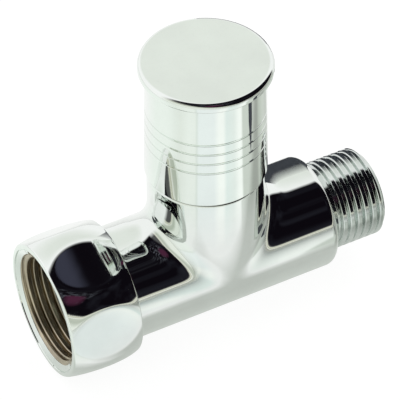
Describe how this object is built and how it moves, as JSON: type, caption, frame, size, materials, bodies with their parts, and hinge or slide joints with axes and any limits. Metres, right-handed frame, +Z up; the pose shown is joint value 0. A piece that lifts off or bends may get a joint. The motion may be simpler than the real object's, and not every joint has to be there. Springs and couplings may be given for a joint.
{
  "type": "shut-off valve",
  "caption": "Chromed straight shut-off valve with a union nut on the inlet, a male outlet thread and a round quarter-turn handle on a branch.",
  "frame": {"origin": "centre of the gasket's front face in the inlet nut, where the supply pipe's end seals", "axes": "+X along the run from the inlet to the outlet, +Z up the handle's branch, +Y to the left of the flow"},
  "size_m": [0.0835, 0.034, 0.0745],
  "materials": {
    "chrome": "polished chrome over brass",
    "nut_chrome": "polished chrome over brass, bare inside",
    "handle_chrome": "polished chrome",
    "bare_brass": "turned",
    "spring_steel": "plain",
    "black_rubber": "matte",
    "ceramic": "lapped ceramic",
    "white_plastic": "smooth",
    "grey_plastic": "moulded",
    "fibre": "pressed fibre"
  },
  "bodies": {
    "valve": {"valve_body": "chrome", "headwork_housing": "bare_brass", "headwork_washer": "fibre", "seat_seal": "black_rubber", "fixed_disc": "ceramic", "retaining_ring": "spring_steel", "nut_gasket": "black_rubber"},
    "nut": {"union_nut": "nut_chrome"},
    "handle_group": {"spindle": "bare_brass", "slip_washer": "white_plastic", "spindle_ring_lower": "black_rubber", "spindle_ring_upper": "black_rubber", "rotating_disc": "ceramic", "stop_ring": "spring_steel", "spindle_clip": "spring_steel", "spline_bush": "grey_plastic", "handle": "handle_chrome", "screw_washer": "spring_steel", "handle_screw": "spring_steel", "cap_ring": "black_rubber", "handle_cap": "handle_chrome"}
  },
  "joints": [
    {"name": "handle_turn", "type": "hinge", "parent": "valve", "child": "handle_group", "pos_m": [0.032, 0, 0.03], "axis": [0, 0, 1], "range_deg": [0, 90]},
    {"name": "nut_spin", "type": "hinge", "parent": "valve", "child": "nut", "pos_m": [0, 0, 0], "axis": [1, 0, 0], "continuous": true}
  ]
}
